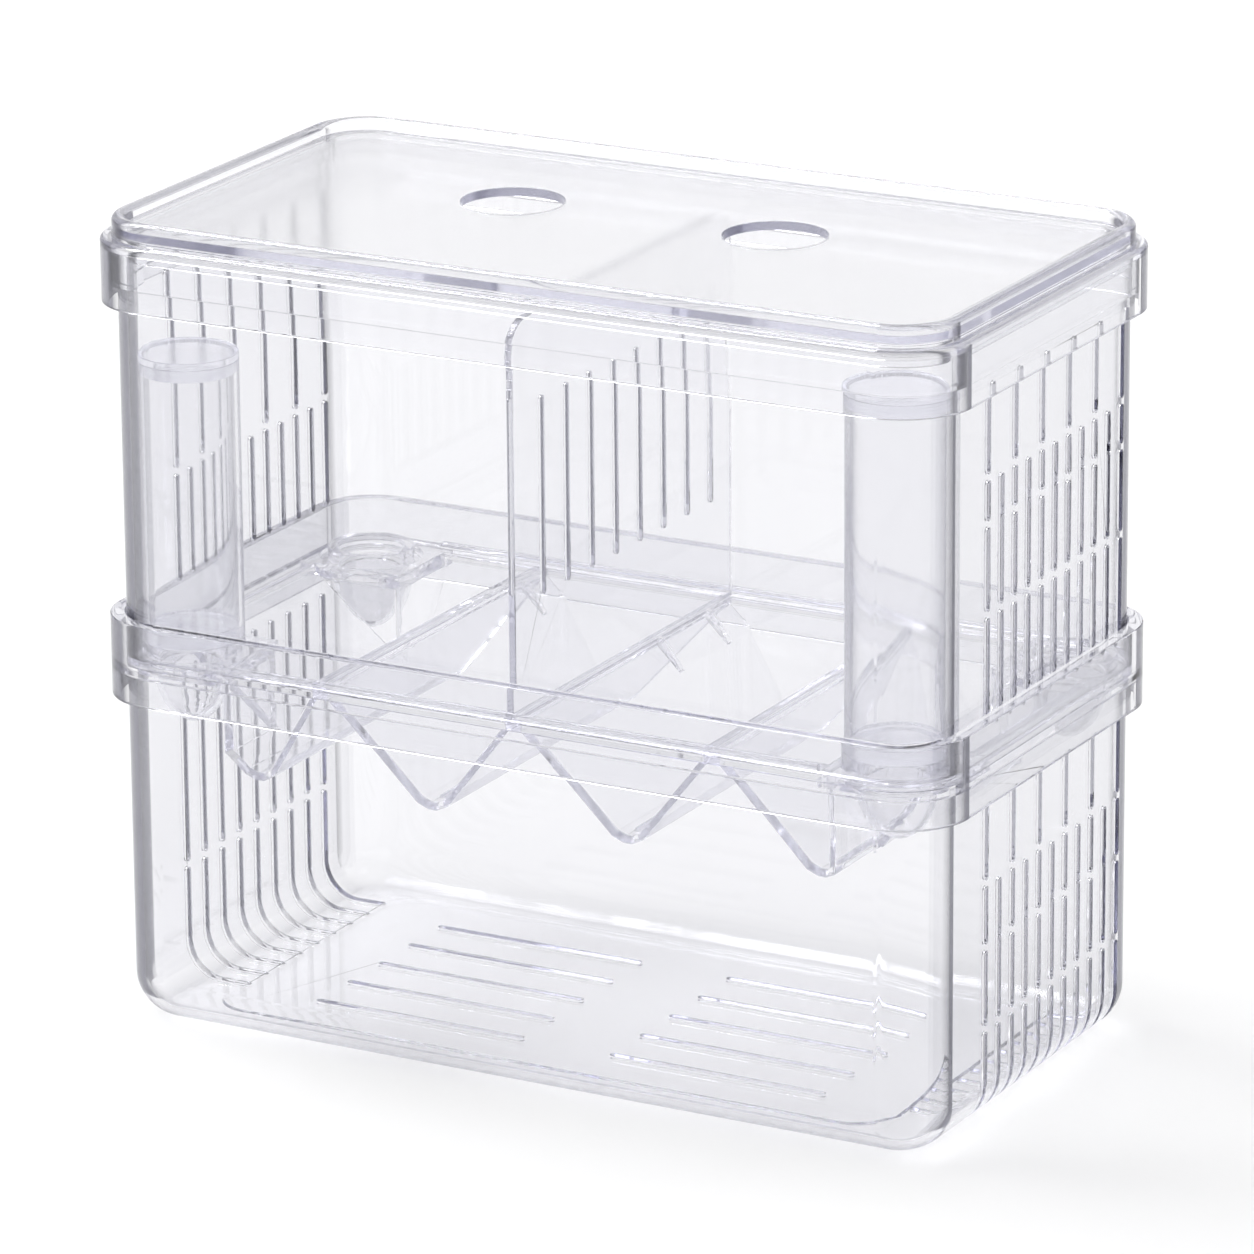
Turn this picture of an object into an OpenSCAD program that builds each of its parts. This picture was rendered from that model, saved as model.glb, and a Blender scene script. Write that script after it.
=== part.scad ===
// Fish breeding box: a clear lower tank with a collar, a fry tray with four V-shaped troughs that lies in the
// collar, a clear upper room that stands on the tray, a lift-off lid, a lift-out divider and two float tubes.
// Millimetres. Origin at the centre of the base, +X along the length, +Y to the back, +Z up.

/* [Box walls] */
// Outside length of both boxes
box_len = 201; // [190:1:240]
// Outside width of both boxes
box_wid = 107; // [100:1:130]
// Thickness of the box walls
wall_t = 2; // [1.6:0.1:2.4]
// Outside radius of the upright corners
corner_r = 12.5; // [11.5:0.5:14]
// Clearance between pieces that slide or lift past each other
fit_gap = 0.3; // [0.2:0.05:0.5]
// Air left where one piece rests on another
rest_gap = 0.05; // [0.02:0.01:0.1]

/* [Lower box] */
// Height of the ledge that carries the tray
ledge_z = 83.5; // [78:0.5:95]
// Thickness of the floor
floor_t = 2; // [1.6:0.1:2.6]
// Outside radius between the walls and the floor
foot_r = 10.5; // [8:0.5:11]
// Height of the raised field on the floor
field_step = 0.6; // [0.3:0.1:1]
// Flat margin between the end fillet and the raised field
field_end_gap = 7; // [4:0.5:9]
// Flat margin between the side fillet and the raised field
field_side_gap = 0.5; // [0.5:0.5:4]
// Corner radius of the raised field
field_r = 9; // [5:0.5:12]

/* [Collar] */
// How far the collar stands out from the wall
collar_over = 3.6; // [3.2:0.1:4.4]
// Height of the collar above the ledge
collar_rise = 10.5; // [8:0.5:13]
// Length of the collar's skirt below the ledge
collar_drop = 8; // [6:0.5:10]
// Thickness of the collar's skirt and web
collar_t = 1.8; // [1.2:0.1:2]

/* [Floor slits] */
// Slits in each of the two blocks
floor_slits = 5; // [3:1:6]
// Distance between floor slits
floor_slit_pitch = 13.6; // [10:0.2:14]
// Width of a floor slit
floor_slit_w = 1.4; // [1:0.1:2]
// Gap between the two blocks of slits
floor_slit_gap = 22; // [16:1:30]
// Distance from the outer ends of the slits to the edge of the field
floor_slit_end = 19.5; // [12:0.5:24]

/* [End walls] */
// Columns of slits in an end wall
columns = 11; // [6:1:11]
// Distance between columns
column_pitch = 6.5; // [5:0.1:6.6]
// How far the middle column lies behind the centre line
column_shift = 7.4; // [5:0.1:8]
// Width of the slits through the end walls
slit_w = 1.5; // [1:0.1:2]
// Height of the bridges between the slits of a column
bridge_h = 1.6; // [1.2:0.1:3]
// Height of the lowest bridge in the lower box's right end
low_bridge_1 = 22.9; // [18:0.1:27]
// Height of the middle bridge there
low_bridge_2 = 41.3; // [36:0.1:45]
// Height of the top bridge there, which also ends every second column
low_bridge_3 = 55.8; // [52:0.1:60]
// Gap between the lower box's highest slits and its ledge
low_slit_gap = 9.5; // [8:0.5:14]
// Columns of slits in the lower box's left end
left_columns = 9; // [6:1:9]
// Distance between those columns
left_pitch = 7.5; // [6:0.1:7.6]
// How far their middle column lies behind the centre line
left_shift = 6.1; // [4:0.1:7]
// Height of the bridge in those columns
left_bridge = 28; // [20:0.5:40]

/* [Upper box] */
// Height of the upper box
upper_h = 91.8; // [85:0.1:110]
// Height of the band round its top
rim_h = 7.9; // [5:0.1:10]
// Height of the lowest bridge above the box's lower edge
up_bridge_1 = 30; // [24:0.1:36]
// Height of the middle bridge above the box's lower edge
up_bridge_2 = 49.8; // [44:0.1:54]
// Height of the top bridge, which also ends every second column
up_bridge_3 = 60; // [56:0.1:68]
// Height of the bridge in the left end, which also ends every second column there
up_left_bridge = 35; // [28:0.5:56]
// Gap between the slits and the box's lower edge
up_slit_foot = 6.7; // [4:0.1:12]
// Gap between the left end's slits and the box's lower edge
up_left_foot = 9.8; // [4:0.1:14]
// Gap between the highest slits and the band round the top
up_slit_gap = 3; // [2:0.5:8]

/* [Lid] */
// How far the lid stands out from the wall
lid_over = 3.6; // [3.2:0.1:4.4]
// Thickness of the lid's skirt
lid_skirt_t = 1.6; // [1.2:0.1:1.9]
// Length of the skirt below the box's top edge
lid_drop = 12.5; // [10:0.5:15]
// Height of the outer shoulder above the box's top edge
lid_shoulder = 2.1; // [1.6:0.1:2.6]
// Rounding of the outer shoulder
lid_round = 1.1; // [0.6:0.1:1.5]
// Thickness of the flat field
lid_plate_t = 2; // [1.5:0.1:2.6]
// Distance from the outside to the middle of the raised bead
bead_in = 4.2; // [4:0.1:4.6]
// Half of the bead's width
bead_r = 1.6; // [1.2:0.1:1.8]
// Height of the bead above the box's top edge
bead_h = 6.8; // [5.6:0.1:8]
// Length of the rib that drops inside the box's rim
lid_rib_drop = 2.5; // [1.5:0.5:3.5]
// Thickness of that rib
lid_rib_t = 1.5; // [1.2:0.1:2]
// Diameter of the feed holes
feed_d = 22.8; // [16:0.1:28]
// Distance of each feed hole from the middle of the length
feed_x = 32.3; // [24:0.1:45]
// Distance of the feed holes behind the centre line
feed_y = 9.5; // [0:0.5:20]

/* [Fry tray] */
// Thickness of the tray's flange
flange_t = 1.8; // [1.4:0.1:2.2]
// Thickness of the trough walls
tray_t = 1.5; // [1.4:0.1:2]
// Gap between the tray's end troughs and the inside of the end walls
trough_end_gap = 2.5; // [2:0.1:6]
// Depth of the troughs below the ledge
trough_depth = 23.5; // [16:0.5:28]
// Half width of the flat inside the bottom of a trough
trough_flat = 2; // [1.6:0.1:3]
// How far the bottom of the left end trough lies to the right of the trough's middle
left_bottom_shift = 7; // [0:0.1:8]
// The same for the middle troughs
mid_bottom_shift = 2.5; // [0:0.1:4]
// The same for the right end trough
right_bottom_shift = 1.2; // [0:0.1:1.4]
// How far the corners at the bottom of a trough are cut back on each side
bottom_cut = 1.2; // [0.4:0.1:1.4]
// Width of the ridges between troughs
ridge_w = 3.6; // [3.2:0.1:4.4]
// Height of the upright lip at the top of a trough
trough_lip = 1.8; // [1:0.1:3]
// Distance of the trough's front wall from the outside of the box
front_in = 7.5; // [7:0.5:10]
// Distance of the trough's back wall from the outside of the box
back_in = 6.5; // [6:0.5:10]
// Height of the upright lip of the back wall
back_lip = 5.6; // [3:0.1:8]
// How far the sloping back wall comes forward
back_run = 12; // [8:0.5:16]
// Width of the slit along the bottom of each trough
drop_slit_w = 2; // [1.4:0.1:3]
// Distance between the ends of a drop slit and the trough's ends
drop_slit_end = 4; // [3:0.5:8]
// Height of the lip that keeps the upper box in place
seat_lip_h = 1.3; // [0.8:0.1:2]
// Thickness of that lip
seat_lip_t = 1.5; // [1.2:0.1:1.8]

/* [Corner sockets] */
// Space between a float tube and the inside of the end wall
socket_gap_x = 0.7; // [0.6:0.1:2]
// Space between a float tube and the inside of the front or back wall
socket_gap_y = 1.7; // [1:0.1:3]
// Clearance between a socket ring and the tube over it
ring_gap = 0.2; // [0.1:0.05:0.4]
// Wall of the socket ring
ring_t = 2.4; // [1.6:0.1:2.8]
// Height of the ring above its seat
ring_h = 4; // [3:0.1:6]
// Wall of the cup under the seat
cup_t = 1.2; // [0.8:0.1:1.4]
// Depth of that cup below the seat plate
cup_depth = 13.5; // [8:0.5:15]
// Thickness of the seat plate
seat_t = 1.8; // [1.4:0.1:2.2]
// Width of the seat plate beside the tube, towards the troughs
seat_side = 0.5; // [0.4:0.1:1.5]
// How much further the left seats reach towards the middle than the right ones
left_seat_in = 2.6; // [0:0.1:2.8]
// Width of the seat plate beside the tube, along the end wall
seat_edge = 0.7; // [0.4:0.1:1.5]
// Thickness of the walls that close the troughs beside the seat
side_t = 1.6; // [1.2:0.1:2]

/* [Float tubes] */
// Outside diameter of the float tubes
tube_d = 22.6; // [18:0.1:26]
// Wall of the float tubes
tube_wall = 1.2; // [0.8:0.1:1.3]
// Space between the right float tube and the upper box's top edge
tube_right_gap = 9.5; // [4:0.5:30]
// Space between the left float tube and the upper box's top edge
tube_left_gap = 24.5; // [4:0.5:40]
// Thickness of a tube's cap
cap_t = 1.6; // [1:0.1:3]
// Depth of the cap's plug inside the tube
cap_plug = 3; // [2:0.5:6]
// Thickness of the bottom seal inside the tube
seal_t = 3; // [2:0.5:6]

/* [Tray stays] */
// Reach of the small stays beside the ridges
stay_reach = 5.5; // [4:0.5:8]
// Thickness of the stays
stay_t = 1.6; // [1.2:0.1:2.4]
// Place of the rear stays behind the centre line
stay_back_y = 36; // [25:1:38]
// Place of the middle stay behind the centre line
stay_mid_y = 13.5; // [0:0.5:20]

/* [Divider] */
// Thickness of the divider
div_t = 1.6; // [1.2:0.1:1.8]
// Space between the divider and the upper box's top edge
div_gap = 4.7; // [3:0.1:20]
// Rounding of its top corners
div_r = 8; // [3:1:14]
// Depth of the groove that it stands in
groove_d = 1; // [0.6:0.1:1.2]
// Slits in the divider
div_slits = 8; // [4:1:8]
// Distance between the divider's slits
div_slit_pitch = 10.9; // [8:0.1:11]
// How far the divider's slits lie behind the centre line
div_slit_shift = 1.5; // [0:0.5:4]
// Width of the divider's slits
div_slit_w = 1.4; // [1:0.1:2]
// Lowest point of the divider's slits above the tray
div_slit_z = 24; // [14:1:30]
// Length of the divider's slits
div_slit_len = 44; // [30:1:48]

/* [Hidden] */
eps = 0.01;
fine = 96;
small = 48;
hx = box_len / 2;
hy = box_wid / 2;
inner_x = hx - wall_t;
inner_y = hy - wall_t;
inner_r = corner_r - wall_t;
field_x = hx - foot_r - field_end_gap;
field_y = hy - foot_r - field_side_gap;
tray_z = ledge_z + rest_gap;
flange_z = tray_z + flange_t;
upper_z = flange_z + rest_gap;
upper_top = upper_z + upper_h;
rim_over = lid_over - lid_skirt_t - fit_gap;
trough_top = flange_z - trough_lip;
trough_in_z = tray_z - trough_depth + tray_t;
troughs = 4;
trough_pitch = 2 * (inner_x - trough_end_gap) / troughs;
trough_half = (trough_pitch - ridge_w) / 2;
stay_slope = atan((trough_top - trough_in_z) / (trough_half + mid_bottom_shift - trough_flat));
front_y = -hy + front_in;
back_y = hy - back_in;
back_foot_z = flange_z - back_lip;
back_slope = atan((back_foot_z - trough_in_z) / back_run);
tube_r = tube_d / 2;
tube_in = tube_r - tube_wall;
socket_x = inner_x - socket_gap_x - tube_r;
socket_y = inner_y - socket_gap_y - tube_r;
ring_r = tube_in - ring_gap;
bore_r = ring_r - ring_t;
seat_z = tray_z;
cup_rings = 10;
div_half = inner_y - seat_lip_t - 2 * fit_gap;
div_h = upper_h - div_gap;
tube_left_h = upper_top - seat_z - tube_left_gap;
tube_right_h = upper_top - seat_z - tube_right_gap;
lift_x = socket_x - tube_r - seat_side;
lift_y = socket_y - tube_r - seat_edge;

// Solid block with rounded upright corners
module block(x, y, r, h) {
    for (i = [-1, 1], j = [-1, 1])
        translate([i * (x - r), j * (y - r), 0]) cylinder(r = r, h = h, $fn = fine);
    translate([-(x - r), -y, 0]) cube([2 * (x - r), 2 * y, h]);
    translate([-x, -(y - r), 0]) cube([2 * x, 2 * (y - r), h]);
}

// Upright band between two rounded outlines that follow each other
module band(x, y, r, t, h) {
    difference() {
        block(x, y, r, h);
        translate([0, 0, -1]) block(x - t, y - t, r - t, h + 2);
    }
}

// Cross-section of a tank: upright walls that turn into the floor in an arc
module tank_section(w, r, h) {
    translate([-(w - r), 0]) square([2 * (w - r), h]);
    translate([-w, r]) square([2 * w, h - r]);
    for (i = [-1, 1]) translate([i * (w - r), r]) circle(r = r, $fn = fine);
}

// Section of a tank's corner, for turning about the corner's axis
module corner_section(c, r, h) {
    square([c - r, h]);
    translate([0, r]) square([c, h - r]);
    intersection() {
        translate([c - r, r]) circle(r = r, $fn = fine);
        translate([c - r, 0]) square([r, r]);
    }
}

// Solid tank shape with round corners and a rounded foot
module tank(x, y, c, r, h) {
    for (i = [-1, 1], j = [-1, 1])
        translate([i * (x - c), j * (y - c), 0]) rotate_extrude($fn = fine) corner_section(c, r, h);
    translate([-(x - c), 0, 0]) rotate([90, 0, 90]) linear_extrude(2 * (x - c)) tank_section(y, r, h);
    translate([0, y - c, 0]) rotate([90, 0, 0]) linear_extrude(2 * (y - c)) tank_section(x, r, h);
}

// Upright slit with round ends through one end wall: s is 1 for the right end and -1 for the left
module end_slit(s, y, z, len) {
    rotate([0, 0, s > 0 ? 0 : 180]) translate([inner_x - 1, s * y, 0]) {
        translate([0, -slit_w / 2, z + slit_w / 2]) cube([rim_over + wall_t + 2, slit_w, len - slit_w]);
        for (k = [z + slit_w / 2, z + len - slit_w / 2])
            translate([0, 0, k]) rotate([0, 90, 0]) cylinder(d = slit_w, h = rim_over + wall_t + 2, $fn = small);
    }
}

// Column of slits from low to top, parted by bridges
module slit_column(s, y, low, bridges, top) {
    ends = concat([low - bridge_h / 2], bridges, [top + bridge_h / 2]);
    for (k = [0 : len(ends) - 2])
        end_slit(s, y, ends[k] + bridge_h / 2, ends[k + 1] - ends[k] - bridge_h);
}

// Lying slit with round ends, cut downwards
module floor_slit(x, y, len, w, z, h) {
    translate([x + w / 2, y - w / 2, z]) cube([len - w, w, h]);
    for (k = [x + w / 2, x + len - w / 2]) translate([k, y, z]) cylinder(d = w, h = h, $fn = small);
}

function column_y(i) = (i - (columns - 1) / 2) * column_pitch + column_shift;
function left_y(i) = (i - (left_columns - 1) / 2) * left_pitch + left_shift;

// Slit that runs down the end wall, round the foot and under the floor to the field's edge
module foot_slit(s, y, top) {
    rotate([0, 0, s > 0 ? 0 : 180]) translate([0, s * y, 0]) {
        translate([field_x + slit_w / 2, -slit_w / 2, -1])
            cube([hx + 1 - field_x - slit_w / 2, slit_w, top - slit_w / 2 + 1]);
        translate([field_x + slit_w / 2, 0, -1]) cylinder(d = slit_w, h = floor_t + 2, $fn = small);
        translate([inner_x - 1, 0, top - slit_w / 2]) rotate([0, 90, 0])
            cylinder(d = slit_w, h = wall_t + 2, $fn = small);
    }
}

module lower_box() {
    color([0.93, 0.94, 0.98, 0.35]) difference() {
        union() {
            tank(hx, hy, corner_r, foot_r, ledge_z);
            translate([0, 0, ledge_z - collar_drop])
                band(hx + collar_over, hy + collar_over, corner_r + collar_over, collar_t, collar_drop);
            translate([0, 0, ledge_z - collar_t])
                block(hx + collar_over, hy + collar_over, corner_r + collar_over, collar_t);
            translate([0, 0, ledge_z - collar_t])
                band(hx + collar_over, hy + collar_over, corner_r + collar_over,
                    collar_over - fit_gap, collar_rise + collar_t);
        }
        difference() {
            translate([0, 0, floor_t])
                tank(inner_x, inner_y, inner_r, foot_r - wall_t, ledge_z + collar_rise);
            translate([0, 0, -1]) block(field_x, field_y, field_r, floor_t + field_step + 1);
        }
        for (i = [0 : columns - 1]) {
            foot_slit(1, column_y(i), low_bridge_1 - bridge_h / 2);
            if (i % 2 == 0) slit_column(1, column_y(i), low_bridge_1 + bridge_h / 2,
                [low_bridge_2, low_bridge_3], ledge_z - low_slit_gap);
            else slit_column(1, column_y(i), low_bridge_1 + bridge_h / 2, [], low_bridge_3 - bridge_h / 2);
        }
        for (i = [0 : left_columns - 1]) {
            foot_slit(-1, left_y(i), left_bridge - bridge_h / 2);
            slit_column(-1, left_y(i), left_bridge + bridge_h / 2, [], ledge_z - low_slit_gap);
        }
        for (i = [0 : floor_slits - 1], s = [-1, 1])
            floor_slit(s > 0 ? floor_slit_gap / 2 : -(field_x - floor_slit_end),
                (i - (floor_slits - 1) / 2) * floor_slit_pitch,
                field_x - floor_slit_end - floor_slit_gap / 2, floor_slit_w, -1, floor_t + field_step + 2);
    }
}

module upper_box() {
    color([0.94, 0.95, 0.98, 0.35]) translate([0, 0, upper_z]) difference() {
        union() {
            block(hx, hy, corner_r, upper_h);
            translate([0, 0, upper_h - rim_h])
                block(hx + rim_over, hy + rim_over, corner_r + rim_over, rim_h);
        }
        translate([0, 0, -1]) block(inner_x, inner_y, inner_r, upper_h + 2);
        for (i = [0 : columns - 1]) {
            if (i % 2 == 0) {
                slit_column(1, column_y(i), up_slit_foot, [up_bridge_1, up_bridge_2, up_bridge_3],
                    upper_h - rim_h - up_slit_gap);
                slit_column(-1, column_y(i), up_left_foot, [up_left_bridge], upper_h - rim_h - up_slit_gap);
            } else {
                slit_column(1, column_y(i), up_slit_foot, [up_bridge_1], up_bridge_3 - bridge_h / 2);
                slit_column(-1, column_y(i), up_left_foot, [], up_left_bridge - bridge_h / 2);
            }
        }
    }
}

// Section of the lid's edge: x is the distance in from the outside, y the height above the box's top
module lid_section() {
    translate([0, -lid_drop]) square([lid_skirt_t, lid_drop + lid_shoulder - lid_round]);
    translate([lid_round, 0]) square([hx - inner_x + lid_over - lid_round, lid_shoulder]);
    translate([0, 0]) square([lid_skirt_t + 1, lid_shoulder - lid_round]);
    intersection() {
        translate([lid_round, lid_shoulder - lid_round]) circle(r = lid_round, $fn = small);
        translate([0, lid_shoulder - lid_round]) square([lid_round, lid_round]);
    }
    translate([bead_in - bead_r, 0]) square([2 * bead_r, bead_h - bead_r]);
    translate([bead_in, bead_h - bead_r]) circle(r = bead_r, $fn = small);
    translate([wall_t + lid_over + fit_gap, -lid_rib_drop])
        square([lid_rib_t, lid_rib_drop + lid_shoulder + lid_plate_t]);
}

// The lid's edge all round: four straight runs and four turned corners
module lid_edge() {
    r = corner_r + lid_over;
    x = hx + lid_over - r;
    y = hy + lid_over - r;
    for (s = [0, 180]) rotate([0, 0, s]) {
        translate([-x, y + r, 0]) rotate([90, 0, 90]) linear_extrude(2 * x) mirror([1, 0]) lid_section();
        translate([x + r, y, 0]) rotate([90, 0, 0]) linear_extrude(2 * y) mirror([1, 0]) lid_section();
    }
    for (i = [-1, 1], j = [-1, 1])
        translate([i * x, j * y, 0]) rotate([0, 0, i > 0 ? (j > 0 ? 0 : 270) : (j > 0 ? 90 : 180)])
            rotate_extrude(angle = 90, $fn = fine) translate([r, 0]) mirror([1, 0]) lid_section();
}

module lid() {
    color([0.95, 0.96, 0.98, 0.35]) translate([0, 0, upper_top + rest_gap]) difference() {
        union() {
            lid_edge();
            translate([0, 0, lid_shoulder])
                block(hx + lid_over - bead_in, hy + lid_over - bead_in, corner_r + lid_over - bead_in, lid_plate_t);
        }
        for (s = [-1, 1]) translate([s * feed_x, feed_y, -1]) cylinder(d = feed_d, h = bead_h + 2, $fn = fine);
    }
}

// Section of a trough across its length, moved outwards by t, with its bottom moved to the right by shift
module trough_section(shift, t) {
    drop = t > 0 ? tray_t : 0;
    top = flange_z + (t > 0 ? -eps : 5);
    low = trough_in_z - drop;
    wide = trough_half + t;
    left = atan((trough_top - trough_in_z) / (trough_half + shift - trough_flat));
    right = atan((trough_top - trough_in_z) / (trough_half - shift - trough_flat));
    from = shift - trough_flat - t / sin(left) + drop / tan(left);
    to = shift + trough_flat + t / sin(right) - drop / tan(right);
    cut_left = bottom_cut + t * (1 / cos(left / 2) - 1) / sin(left / 2);
    cut_right = bottom_cut + t * (1 / cos(right / 2) - 1) / sin(right / 2);
    polygon([[from + cut_left, low], [to - cut_right, low],
        [to + cut_right * cos(right), low + cut_right * sin(right)], [wide, low + (wide - to) * tan(right)],
        [wide, top], [-wide, top], [-wide, low + (wide + from) * tan(left)],
        [from - cut_left * cos(left), low + cut_left * sin(left)]]);
}

// Section of a trough along its length, moved outwards by t: upright front, sloping back
module trough_side(t) {
    drop = t > 0 ? tray_t : 0;
    out = t / sin(back_slope);
    top = flange_z + (t > 0 ? -eps : 5);
    low = trough_in_z - drop;
    toe = back_y - back_run + out - drop / tan(back_slope);
    heel = back_y + t;
    polygon([[front_y - t, low], [toe, low], [heel, low + (heel - toe) * tan(back_slope)],
        [heel, top], [front_y - t, top]]);
}

module trough(i, t) {
    intersection() {
        translate([trough_x(i), hy, 0]) rotate([90, 0, 0]) linear_extrude(box_wid) trough_section(bottom_shift(i), t);
        translate([trough_x(i) - trough_pitch, 0, 0]) rotate([90, 0, 90]) linear_extrude(2 * trough_pitch) trough_side(t);
    }
}

function trough_x(i) = (i - (troughs - 1) / 2) * trough_pitch;
function bottom_shift(i) = i == 0 ? left_bottom_shift : i == troughs - 1 ? right_bottom_shift : mid_bottom_shift;

// Outer shape of all the troughs, trimmed to the inside of the lower box
module trough_shells() {
    intersection() {
        for (i = [0 : troughs - 1]) trough(i, tray_t);
        translate([0, 0, trough_in_z - tray_t - 1])
            block(inner_x - fit_gap, inner_y - fit_gap, inner_r - fit_gap, trough_depth + flange_t + 2);
    }
}

// Edge of a corner's seat towards the middle of the tray
function seat_x() = lift_x - $left * left_seat_in;

// Seat plate of one corner socket and the two walls under its edges, before they are trimmed to the troughs
module corner_seat() {
    wide = inner_x - fit_gap - seat_x();
    deep = inner_y - fit_gap - lift_y;
    translate([seat_x(), lift_y, seat_z - seat_t]) cube([wide, deep, seat_t]);
    translate([seat_x(), lift_y, trough_in_z]) cube([side_t, deep, seat_z - trough_in_z]);
    translate([seat_x(), lift_y, trough_in_z]) cube([wide, side_t, seat_z - trough_in_z]);
}

// Space under one corner seat, outside the troughs
module corner_space() {
    translate([seat_x() + side_t, lift_y + side_t, 0])
        cube([hx - seat_x() - side_t, hy - lift_y - side_t, seat_z - seat_t]);
}

// Round cup that hangs from a corner seat and narrows towards its tip
module cup(r, h) {
    rotate_extrude($fn = fine)
        polygon([[0, 0], for (k = [0 : cup_rings]) [r * cos(80 * k / cup_rings), -h * sin(80 * k / cup_rings)],
            [0, -h * sin(80)]]);
}

// Each corner in turn, mirrored from the right-hand back one
module corners() {
    for (i = [0, 1], j = [0, 1]) {
        $left = i;
        mirror([i, 0, 0]) mirror([0, j, 0]) children();
    }
}

// Small three-cornered stay between a ridge and the trough's slope on its right
module stay(x, y) {
    translate([x, y + stay_t / 2, 0]) rotate([90, 0, 0]) linear_extrude(stay_t)
        polygon([[ridge_w / 2 - eps, flange_z], [ridge_w / 2 + 1, flange_z],
            [ridge_w / 2 + stay_reach, trough_top - (stay_reach - 0.5) * tan(stay_slope)],
            [ridge_w / 2 + stay_reach, trough_top - (stay_reach + 1) * tan(stay_slope)],
            [ridge_w / 2 - eps, trough_top - tray_t]]);
}

module fry_tray() {
    color([0.94, 0.95, 0.98, 0.35]) {
        difference() {
            union() {
                difference() {
                    union() {
                        translate([0, 0, tray_z]) block(hx, hy, corner_r, flange_t);
                        trough_shells();
                    }
                    for (i = [0 : troughs - 1]) trough(i, 0);
                }
                intersection() {
                    corners() corner_seat();
                    union() {
                        trough_shells();
                        translate([0, 0, seat_z - seat_t])
                            block(inner_x - fit_gap, inner_y - fit_gap, inner_r - fit_gap, seat_t + eps);
                    }
                }
                stay(0, stay_mid_y);
                stay(0, stay_back_y);
                stay(-trough_pitch, stay_back_y);
                corners() translate([seat_x(), lift_y, seat_z])
                    cube([trough_x(troughs - 1) + trough_half - seat_x() + eps, inner_y - lift_y - seat_lip_t, flange_t]);
            }
            corners() corner_space();
            for (i = [0 : troughs - 1])
                translate([trough_x(i) + bottom_shift(i), 0, 0]) rotate([0, 0, 90])
                    floor_slit(front_y + drop_slit_end, 0, back_y - back_run - front_y - 2 * drop_slit_end,
                        drop_slit_w, trough_in_z - tray_t - 1, tray_t + 2);
            corners() translate([socket_x, socket_y, seat_z])
                cylinder(r = tube_r + fit_gap, h = flange_t + 1, $fn = fine);
            corners() translate([socket_x, socket_y, seat_z - seat_t - 1]) cylinder(r = bore_r, h = flange_z, $fn = fine);
            translate([-div_t / 2 - fit_gap / 2, -div_half - fit_gap, flange_z - groove_d])
                cube([div_t + fit_gap, 2 * (div_half + fit_gap), groove_d + 1]);
        }
        corners() translate([socket_x, socket_y, seat_z - eps]) difference() {
            cylinder(r = ring_r, h = ring_h + eps, $fn = fine);
            translate([0, 0, -1]) cylinder(r = bore_r, h = ring_h + 2, $fn = fine);
        }
        corners() translate([socket_x, socket_y, seat_z - seat_t]) difference() {
            union() {
                translate([0, 0, -eps]) cylinder(r = bore_r + cup_t, h = 2 * eps, $fn = fine);
                cup(bore_r + cup_t, cup_depth);
            }
            cylinder(r = bore_r, h = 1, $fn = fine);
            cup(bore_r, cup_depth - cup_t);
        }
        for (s = [-1, 1])
            translate([-lift_x, s > 0 ? inner_y - fit_gap - seat_lip_t : -(inner_y - fit_gap), flange_z - eps])
                cube([2 * lift_x, seat_lip_t, seat_lip_h + eps]);
    }
}

module float_tube(s, h) {
    translate([s * socket_x, -socket_y, seat_z + rest_gap]) difference() {
        cylinder(r = tube_r, h = h - cap_t - rest_gap, $fn = fine);
        translate([0, 0, -1]) cylinder(r = tube_in, h = h + 2, $fn = fine);
    }
}

module tube_cap(s, h) {
    translate([s * socket_x, -socket_y, seat_z + h - cap_t]) {
        cylinder(r = tube_r, h = cap_t, $fn = fine);
        translate([0, 0, -cap_plug]) cylinder(r = tube_in, h = cap_plug + eps, $fn = fine);
    }
}

module tube_plug(s) {
    translate([s * socket_x, -socket_y, seat_z + ring_h + fit_gap]) cylinder(r = tube_in, h = seal_t, $fn = fine);
}

module divider() {
    color([0.95, 0.96, 0.98, 0.35]) {
        difference() {
            union() {
                translate([-div_t / 2, -div_half, flange_z - groove_d + rest_gap])
                    cube([div_t, 2 * div_half, div_h + groove_d - div_r - rest_gap]);
                translate([-div_t / 2, -(div_half - div_r), flange_z + div_h - div_r])
                    cube([div_t, 2 * (div_half - div_r), div_r]);
                for (s = [-1, 1]) translate([-div_t / 2, s * (div_half - div_r), flange_z + div_h - div_r])
                    rotate([0, 90, 0]) cylinder(r = div_r, h = div_t, $fn = fine);
            }
            for (i = [0 : div_slits - 1]) {
                y = (i - (div_slits - 1) / 2) * div_slit_pitch + div_slit_shift;
                translate([-div_t, y - div_slit_w / 2, flange_z + div_slit_z + div_slit_w / 2])
                    cube([2 * div_t, div_slit_w, div_slit_len - div_slit_w]);
                for (k = [div_slit_w / 2, div_slit_len - div_slit_w / 2])
                    translate([-div_t, y, flange_z + div_slit_z + k])
                        rotate([0, 90, 0]) cylinder(d = div_slit_w, h = 2 * div_t, $fn = small);
            }
        }
    }
}

module float_tube_left() { color([0.97, 0.97, 0.98, 0.6]) float_tube(-1, tube_left_h); }
module float_tube_right() { color([0.97, 0.97, 0.98, 0.6]) float_tube(1, tube_right_h); }
module tube_cap_left() { color([0.97, 0.97, 0.98, 0.8]) tube_cap(-1, tube_left_h); }
module tube_cap_right() { color([0.97, 0.97, 0.98, 0.8]) tube_cap(1, tube_right_h); }
module tube_plug_left() { color([0.97, 0.97, 0.98, 0.8]) tube_plug(-1); }
module tube_plug_right() { color([0.97, 0.97, 0.98, 0.8]) tube_plug(1); }

lower_box();
upper_box();
fry_tray();
divider();
lid();
float_tube_left();
float_tube_right();
tube_cap_left();
tube_cap_right();
tube_plug_left();
tube_plug_right();
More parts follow.
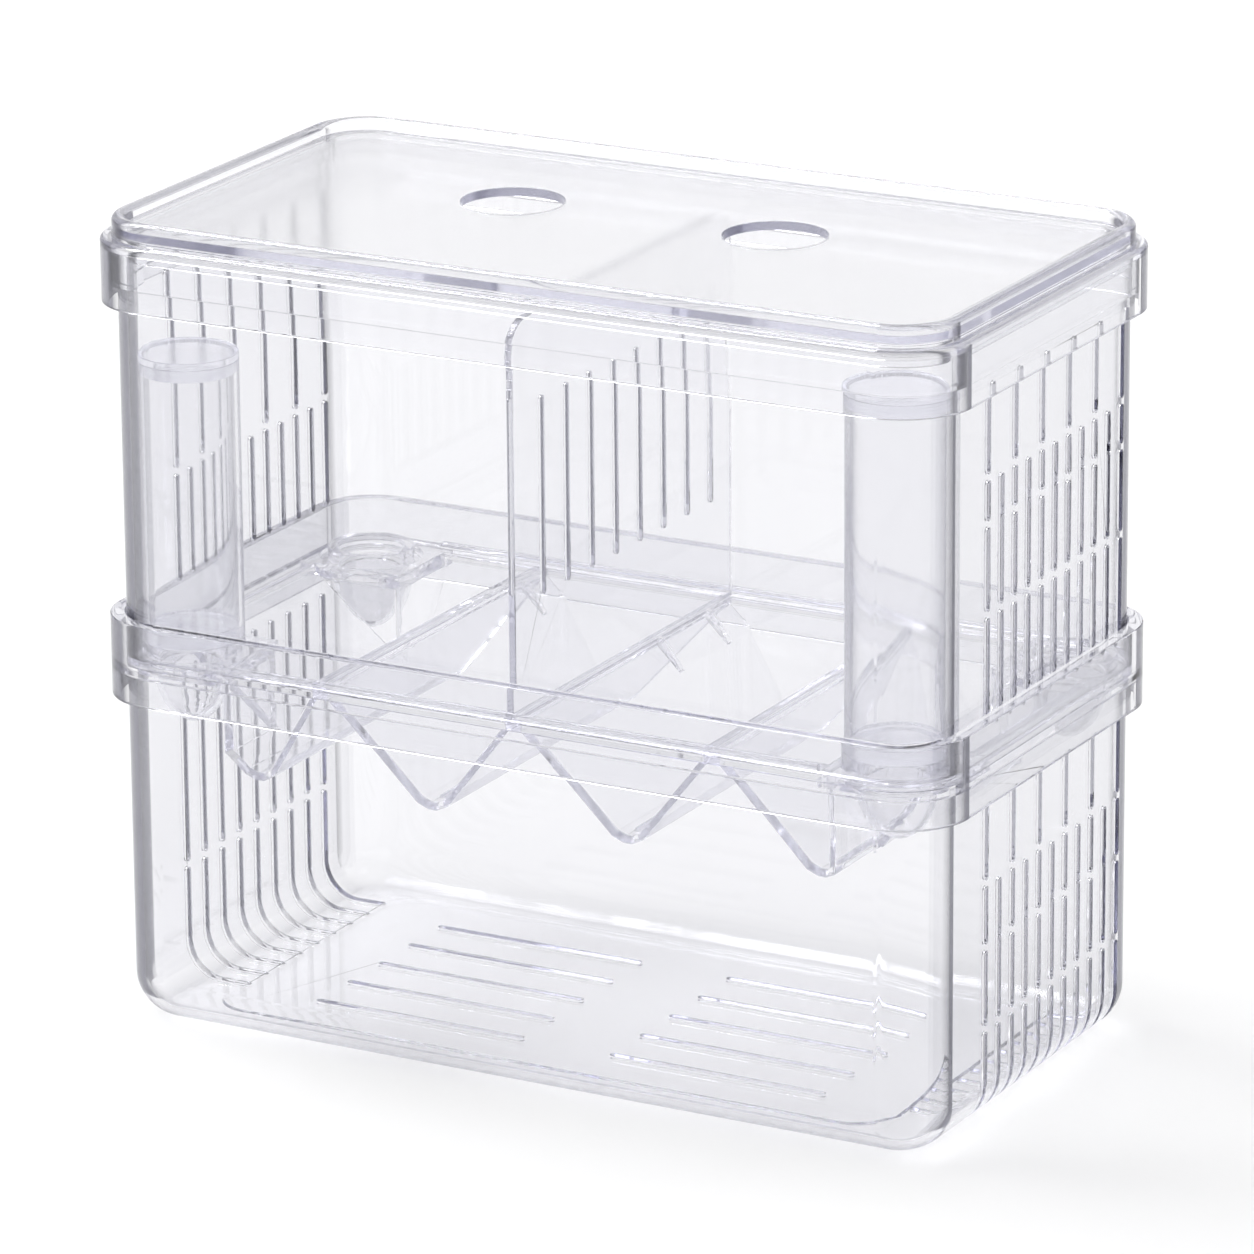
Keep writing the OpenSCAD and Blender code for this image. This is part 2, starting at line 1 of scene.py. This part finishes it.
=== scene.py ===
import math

import bpy
from mathutils import Matrix, Vector

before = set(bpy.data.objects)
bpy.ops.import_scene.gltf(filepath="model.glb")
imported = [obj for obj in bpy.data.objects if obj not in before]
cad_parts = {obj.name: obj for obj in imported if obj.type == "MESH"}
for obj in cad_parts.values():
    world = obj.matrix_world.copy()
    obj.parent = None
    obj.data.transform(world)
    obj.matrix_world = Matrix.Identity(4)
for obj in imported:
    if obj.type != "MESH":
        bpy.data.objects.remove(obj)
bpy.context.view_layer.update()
scene = bpy.context.scene

# Camera. A long lens, so that the box's long edges run nearly parallel. It looks down over the right front corner,
# and hangs a touch out of level.
AZIMUTH, ELEVATION, ROLL = math.radians(28.67), math.radians(17.62), math.radians(-0.454)
CAMERA_PLACE = Vector((0.79823, -1.45895, 0.61922))
LENS_MM, SENSOR_MM = 228.9, 36.0
FARTHEST_SEEN = 50
back = Vector((math.sin(AZIMUTH) * math.cos(ELEVATION), -math.cos(AZIMUTH) * math.cos(ELEVATION),
               math.sin(ELEVATION)))
level = Vector((math.cos(AZIMUTH), math.sin(AZIMUTH), 0))
upright = back.cross(level)
right = level * math.cos(ROLL) + upright * math.sin(ROLL)
up = upright * math.cos(ROLL) - level * math.sin(ROLL)
camera = bpy.data.objects.new("camera", bpy.data.cameras.new("camera"))
camera.data.sensor_width = SENSOR_MM
camera.data.lens = LENS_MM
camera.data.clip_end = FARTHEST_SEEN
camera.matrix_world = Matrix.Translation(CAMERA_PLACE) @ Matrix((right, up, back)).transposed().to_4x4()
scene.collection.objects.link(camera)
scene.camera = camera

# Studio. A wide white table under an even pale sky that darkens overhead, and one large soft lamp high up on the
# left, so that the shadow falls to the right. Clear plastic needs many bounces before light comes out of it again.
PLASTIC_BOUNCES = 64
SHADOW_BOUNCES = 32
scene.view_settings.view_transform = "Standard"
scene.cycles.max_bounces = PLASTIC_BOUNCES
scene.cycles.transmission_bounces = PLASTIC_BOUNCES
scene.cycles.glossy_bounces = PLASTIC_BOUNCES
scene.cycles.transparent_max_bounces = SHADOW_BOUNCES
scene.cycles.caustics_reflective = True
scene.cycles.caustics_refractive = True


def node_tree(owner):
    """The owner's shader nodes, emptied."""
    owner.use_nodes = True
    owner.node_tree.nodes.clear()
    return owner.node_tree


def wire(tree, kind, links=(), **values):
    """One node: links are (input, socket) pairs, values are set on its inputs or on the node itself."""
    node = tree.nodes.new(kind)
    for key, value in values.items():
        if key in node.bl_rna.properties and key not in node.inputs:
            setattr(node, key, value)
        else:
            node.inputs[key.replace("_", " ")].default_value = value
    for name, socket in links:
        tree.links.new(socket, node.inputs[name])
    return node


def maths(tree, operation, *terms):
    """A Math node's result: each term is a socket or a number. Sums and powers are kept within 0 and 1."""
    node = wire(tree, "ShaderNodeMath", operation=operation, use_clamp=operation in ("ADD", "POWER"))
    for slot, term in enumerate(terms):
        if isinstance(term, (int, float)):
            node.inputs[slot].default_value = term
        else:
            tree.links.new(term, node.inputs[slot])
    return node.outputs[0]


def seen_rays(tree):
    """1 for every ray that shows the studio itself: straight, mirrored or through the plastic."""
    ray = wire(tree, "ShaderNodeLightPath").outputs
    direct = maths(tree, "ADD", ray["Is Camera Ray"], ray["Is Glossy Ray"])
    return maths(tree, "ADD", direct, ray["Is Transmission Ray"])


SKY_LIGHT = 0.68
SKY_LOW, SKY_HIGH = 1.0, 0.62
SKY_FADE_FROM, SKY_FADE_TO = 0.10, 0.75
WHITE = (1, 1, 1, 1)
sky = bpy.data.worlds.new("studio_sky")
scene.world = sky
tree = node_tree(sky)
way = wire(tree, "ShaderNodeTexCoord").outputs["Generated"]
height = wire(tree, "ShaderNodeSeparateXYZ", [(0, way)]).outputs["Z"]
fade = wire(tree, "ShaderNodeMapRange", [(0, height)], interpolation_type="SMOOTHSTEP")
for slot, number in enumerate((SKY_FADE_FROM, SKY_FADE_TO, SKY_LOW, SKY_HIGH), 1):
    fade.inputs[slot].default_value = number
strength = wire(tree, "ShaderNodeMix", [(0, seen_rays(tree)), (3, fade.outputs[0])], data_type="FLOAT")
strength.inputs[2].default_value = SKY_LIGHT
glow = wire(tree, "ShaderNodeBackground", [("Strength", strength.outputs[0])], Color=WHITE)
wire(tree, "ShaderNodeOutputWorld", [("Surface", glow.outputs[0])])

TABLE_SIZE = 60.0
TABLE_DROP = 0.0002
TABLE_WHITE = 0.80
TABLE_GLOW = 0.165
table_mesh = bpy.data.meshes.new("table")
half = TABLE_SIZE / 2
table_mesh.from_pydata([(-half, -half, 0), (half, -half, 0), (half, half, 0), (-half, half, 0)], [], [(0, 1, 2, 3)])
table = bpy.data.objects.new("table", table_mesh)
table.location.z = -TABLE_DROP
scene.collection.objects.link(table)
paper = bpy.data.materials.new("table_white")
tree = node_tree(paper)
matt = wire(tree, "ShaderNodeBsdfDiffuse", Color=(TABLE_WHITE, TABLE_WHITE, TABLE_WHITE, 1))
lift = maths(tree, "MULTIPLY", seen_rays(tree), TABLE_GLOW)
shine = wire(tree, "ShaderNodeEmission", [("Strength", lift)], Color=WHITE)
both = wire(tree, "ShaderNodeAddShader", [(0, matt.outputs[0]), (1, shine.outputs[0])])
wire(tree, "ShaderNodeOutputMaterial", [("Surface", both.outputs[0])])
table_mesh.materials.append(paper)

LAMP_WATTS = 130.0
LAMP_SIZE = 2.0
LAMP_PLACE, LAMP_AIM = Vector((-2.4, 0.0, 4.0)), Vector((0, 0, 0.08))
lamp = bpy.data.objects.new("soft_lamp", bpy.data.lights.new("soft_lamp", "AREA"))
lamp.data.shape = "RECTANGLE"
lamp.data.size, lamp.data.size_y = LAMP_SIZE, LAMP_SIZE
lamp.data.energy = LAMP_WATTS
lamp.location = LAMP_PLACE
lamp.rotation_euler = (LAMP_PLACE - LAMP_AIM).to_track_quat("Z", "Y").to_euler()
scene.collection.objects.link(lamp)


# Lower box. The tank that stands in the water or on a shelf: injection-moulded clear polystyrene, 2 mm thick, with
# slitted end walls, floor slits and the collar that takes the tray and the upper box.
def spots(tree):
    """A point's place with its sign and without, and how squarely its face looks along each axis."""
    place = wire(tree, "ShaderNodeTexCoord").outputs["Object"]
    normal = wire(tree, "ShaderNodeNewGeometry").outputs["True Normal"]
    spot = {}
    for axis, part in zip("xyz", wire(tree, "ShaderNodeSeparateXYZ", [(0, place)]).outputs):
        spot["signed_" + axis] = part
        spot["place_" + axis] = maths(tree, "ABSOLUTE", part)
    for axis, part in zip("xyz", wire(tree, "ShaderNodeSeparateXYZ", [(0, normal)]).outputs):
        spot["normal_" + axis] = maths(tree, "ABSOLUTE", part)
    return place, spot


def over(tree, value, limit):
    """1 where a value is above a limit, 0 elsewhere."""
    return maths(tree, "GREATER_THAN", value, limit)


def under(tree, value, limit):
    """1 where a value is below a limit, 0 elsewhere."""
    return maths(tree, "LESS_THAN", value, limit)


def all_of(tree, first, *others):
    """The product of several amounts."""
    for other in others:
        first = maths(tree, "MULTIPLY", first, other)
    return first


def ramp(tree, value, gain, start):
    """A value stretched by a gain and moved by a start, kept within 0 and 1."""
    return maths(tree, "ADD", maths(tree, "MULTIPLY", value, gain), start)


def toned(tree, colour, amount, tone):
    """Colour turned towards a tone where amount is above 0."""
    mix = wire(tree, "ShaderNodeMix", [(0, amount), (6, colour)], data_type="RGBA")
    mix.inputs[7].default_value = (*tone, 1)
    return mix.outputs[2]


# Painted shade: dark lines on rounded upright corners seen at a grazing look.
CORNER_X, CORNER_Y = 0.088, 0.041
UPRIGHT_FACE = 0.4
CORNER_GAIN, CORNER_START = 6.0, -2.0
CORNER_PAINTED_SHADE = (0.06, 0.06, 0.08)


def painted_corner_lines(tree, colour, spot):
    """Painted shade: a dark line on a rounded upright corner where it is seen at a grazing look."""
    facing = wire(tree, "ShaderNodeLayerWeight", Blend=0.5).outputs["Facing"]
    curved = all_of(tree, under(tree, spot["normal_z"], UPRIGHT_FACE), over(tree, spot["place_x"], CORNER_X),
                    over(tree, spot["place_y"], CORNER_Y))
    edge_on = ramp(tree, facing, CORNER_GAIN, CORNER_START)
    return toned(tree, colour, all_of(tree, curved, edge_on), CORNER_PAINTED_SHADE)


# Painted shade: the end walls are toned greyer and the sides of their slits dark.
END_WALL_X = 0.0975
SLITS_REACH_Y = 0.0435
SQUARE_ON = 0.8
END_WALL_SHADE, SLIT_SIDE_SHADE = (0.84, 0.84, 0.86), (0.46, 0.46, 0.50)


def wall_painted_shade(tree, colour, spot):
    """Painted shade: greyer end walls, dark slit sides and dark corner lines."""
    end = over(tree, spot["place_x"], END_WALL_X)
    colour = toned(tree, colour, all_of(tree, end, over(tree, spot["normal_x"], SQUARE_ON)), END_WALL_SHADE)
    slit_side = all_of(tree, over(tree, spot["normal_y"], SQUARE_ON), under(tree, spot["place_y"], SLITS_REACH_Y))
    colour = toned(tree, colour, all_of(tree, end, slit_side), SLIT_SIDE_SHADE)
    return painted_corner_lines(tree, colour, spot)


# Painted shade: plastic greys towards a darker tone at a grazing look, and rounded faces seen aslant darken.
GRAZING_POWER = 5.0
FLAT_FACE, LEVEL_FACE = 0.97, 0.99
RIM_GAIN, RIM_START, RIM_BLUE = 2.0, -0.7, 0.05
RIPPLE_SCALE, RIPPLE_DETAIL, RIPPLE_STRENGTH, RIPPLE_DEPTH = 28.0, 2.0, 0.10, 0.0004
PLASTIC_IOR = 1.5
LAMP_PASS = 0.89
# Tone of the painted glow.
PAINTED_GLOW_TONE = (0.86, 0.86, 1.0, 1)
DEPTH_TONE, DEPTH_DENSITY = (0.74, 0.74, 0.86, 1), 9.0


def clear_plastic(name, tint=(0.945, 0.945, 0.956), grazing_shade=(0.80, 0.80, 0.86), rim_shade=0.40, haze=0.02, flat_haze=None,
                  clear=1.0, glow=0.0, tones=None):
    """Clear moulded plastic: it passes light and takes a lavender tone in depth. Painted shade greys it at a grazing
    look and darkens its rounded faces seen aslant, and a glow above 0 is a painted glow.
    """
    plastic = bpy.data.materials.new(name)
    tree = node_tree(plastic)
    place, spot = spots(tree)
    facing = wire(tree, "ShaderNodeLayerWeight", Blend=0.5).outputs["Facing"]
    body = wire(tree, "ShaderNodeMix", [(0, maths(tree, "POWER", facing, GRAZING_POWER))], data_type="RGBA")
    body.inputs[6].default_value, body.inputs[7].default_value = (*tint, 1), (*grazing_shade, 1)
    rounded = all_of(tree, *(under(tree, spot["normal_" + axis], FLAT_FACE) for axis in "xyz"))
    slant = ramp(tree, facing, RIM_GAIN, RIM_START)
    colour = toned(tree, body.outputs[2], all_of(tree, rounded, slant), (rim_shade, rim_shade, rim_shade + RIM_BLUE))
    if tones:
        colour = tones(tree, colour, spot)
    ripple = wire(tree, "ShaderNodeTexNoise", [("Vector", place)], Scale=RIPPLE_SCALE, Detail=RIPPLE_DETAIL)
    swell = wire(tree, "ShaderNodeBump", [("Height", ripple.outputs[0])], Strength=RIPPLE_STRENGTH,
                 Distance=RIPPLE_DEPTH)
    # Emission here is a painted glow, where glow is above 0.
    shell = wire(tree, "ShaderNodeBsdfPrincipled", [("Base Color", colour), ("Normal", swell.outputs[0])],
                 Roughness=haze, IOR=PLASTIC_IOR, Transmission_Weight=clear, Emission_Color=PAINTED_GLOW_TONE,
                 Emission_Strength=glow)
    if flat_haze:
        level_face = over(tree, spot["normal_z"], LEVEL_FACE)
        hazed = wire(tree, "ShaderNodeMix", [(0, level_face)], data_type="FLOAT")
        hazed.inputs[2].default_value, hazed.inputs[3].default_value = haze, flat_haze
        tree.links.new(hazed.outputs[0], shell.inputs["Roughness"])
    ray = wire(tree, "ShaderNodeLightPath")
    passed = wire(tree, "ShaderNodeBsdfTransparent", Color=(LAMP_PASS, LAMP_PASS, LAMP_PASS, 1))
    surface = wire(tree, "ShaderNodeMixShader",
                   [(0, ray.outputs["Is Shadow Ray"]), (1, shell.outputs[0]), (2, passed.outputs[0])])
    deep = wire(tree, "ShaderNodeVolumeAbsorption", Color=DEPTH_TONE, Density=DEPTH_DENSITY)
    wire(tree, "ShaderNodeOutputMaterial", [("Surface", surface.outputs[0]), ("Volume", deep.outputs[0])])
    return plastic


WELD_GAP = 2e-6
FLAT_ANGLE, SHARP_ANGLE = math.radians(0.5), math.radians(35)
EDGE_ROUNDING, EDGE_STEPS = 0.00022, 2
FULL_WEIGHT = 100


def dress(node, material, whole_faces=True):
    """Gives a moulded piece its finish and the fine rounding that moulded edges have."""
    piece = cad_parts[node]
    piece.data.materials.clear()
    piece.data.materials.append(material)
    weld = piece.modifiers.new("weld", "WELD")
    weld.merge_threshold = WELD_GAP
    if whole_faces:
        flat = piece.modifiers.new("flat", "DECIMATE")
        flat.decimate_type = "DISSOLVE"
        flat.angle_limit = FLAT_ANGLE
    rounding = piece.modifiers.new("rounding", "BEVEL")
    rounding.width = EDGE_ROUNDING
    rounding.segments = EDGE_STEPS
    rounding.limit_method = "ANGLE"
    rounding.angle_limit = SHARP_ANGLE
    rounding.use_clamp_overlap = False
    even = piece.modifiers.new("even_shading", "WEIGHTED_NORMAL")
    even.mode = "FACE_AREA"
    even.weight = FULL_WEIGHT
    even.keep_sharp = True


# The tank's end walls, slit sides and rounded corners carry painted shade.
dress("lower_box", clear_plastic("clear_polystyrene", tones=wall_painted_shade))

# Upper box. The room for the mother fish, moulded like the tank, open at the top and the bottom, with slits in both
# end walls. It stands on the tray's flange inside the tank's collar.
# Its end walls, slit sides and rounded corners carry painted shade too.
dress("upper_box", clear_plastic("clear_room_plastic", tint=(0.925, 0.925, 0.937), tones=wall_painted_shade))


# Fry tray. Four troughs with a slit along each bottom, hung from a flange that lies in the collar, with a seat, a
# ring and a hanging cup at each corner for the float tubes. Thinner moulding of the same plastic.
def round_about(tree, spot, x, y, radius):
    """1 within a radius of an upright axis on the left and on the right of the middle."""
    away_x = maths(tree, "SUBTRACT", spot["place_x"], x)
    away_y = maths(tree, "SUBTRACT", spot["signed_y"], y)
    squares = [maths(tree, "MULTIPLY", away, away) for away in (away_x, away_y)]
    return under(tree, maths(tree, "ADD", *squares), radius ** 2)


SEAT_X, SEAT_Y, CUP_REACH = 0.0865, 0.0385, 0.0088
SEAT_UNDERSIDE = 0.0816
BACK_CUP_GREY = (0.86, 0.86, 0.88)


def back_cup_toning(tree, colour, spot):
    """The cups under the back seats are toned greyer."""
    hanging = under(tree, spot["place_z"], SEAT_UNDERSIDE)
    cup = round_about(tree, spot, SEAT_X, SEAT_Y, CUP_REACH)
    return toned(tree, colour, all_of(tree, cup, hanging), BACK_CUP_GREY)


# The tray's faces stay as they are cut: merged and then rounded, some lay over others and showed as a dark slab.
tray_plastic = clear_plastic("clear_tray_plastic", tint=(0.968, 0.968, 0.976), rim_shade=0.93, tones=back_cup_toning)
dress("fry_tray", tray_plastic, whole_faces=False)


# Divider. A loose clear sheet with upright slits that stands in the groove of the middle ridge and splits the room.
# The sides of its slits carry painted shade, so that they show through the sheet as dark lines.
SHEET_EDGE_Y = 0.048
SHEET_SLIT_SHADE = (0.50, 0.50, 0.54)


def sheet_painted_shade(tree, colour, spot):
    """Painted shade on the sides of the slits that are cut through the sheet."""
    side = all_of(tree, over(tree, spot["normal_y"], SQUARE_ON), under(tree, spot["place_y"], SHEET_EDGE_Y))
    return toned(tree, colour, side, SHEET_SLIT_SHADE)


dress("divider", clear_plastic("clear_sheet_plastic", tint=(0.945, 0.945, 0.955), tones=sheet_painted_shade))


# Lid. Lifts off; a skirt laps over the upper box, and a raised bead runs round a flat field with two feed holes. The
# field is slightly hazy, so that what lies under it shows only faintly.
# Painted shade: the walls of the feed holes are toned lavender-grey, and the rounded corners get dark lines.
HOLE_X, HOLE_Y, HOLE_REACH = 0.0323, 0.0095, 0.0118
HOLE_WALL_FACE = 0.9
HOLE_WALL_SHADE = (0.24, 0.24, 0.32)


def hole_painted_shade(tree, colour, spot):
    """Painted shade: lavender-grey walls of the two feed holes, and dark corner lines."""
    hole_wall = all_of(tree, round_about(tree, spot, HOLE_X, HOLE_Y, HOLE_REACH),
                       under(tree, spot["normal_z"], HOLE_WALL_FACE))
    return toned(tree, painted_corner_lines(tree, colour, spot), hole_wall, HOLE_WALL_SHADE)


lid_plastic = clear_plastic("clear_lid_plastic", tint=(0.955, 0.955, 0.965), rim_shade=0.30, flat_haze=0.09,
                            tones=hole_painted_shade)
dress("lid", lid_plastic)

# Float tubes. Closed tubes full of air that stand over the front socket rings; thin clear walls with a slight haze,
# a milky cap on top and a milky seal near the foot. The milky plastic carries a faint painted glow in place of the
# light that scatters inside it, and the tube walls turn dark at a grazing look, which is painted shade.
tube_plastic = clear_plastic("hazy_tube_plastic", tint=(0.962, 0.962, 0.970), grazing_shade=(0.10, 0.10, 0.14), rim_shade=0.30,
                             haze=0.05)
cap_plastic = clear_plastic("milky_cap_plastic", tint=(0.99, 0.99, 0.995), rim_shade=0.80, haze=0.14, clear=0.94,
                            glow=0.045)
for side in ("left", "right"):
    dress("float_tube_" + side, tube_plastic)
    dress("tube_cap_" + side, cap_plastic)
    dress("tube_plug_" + side, cap_plastic)
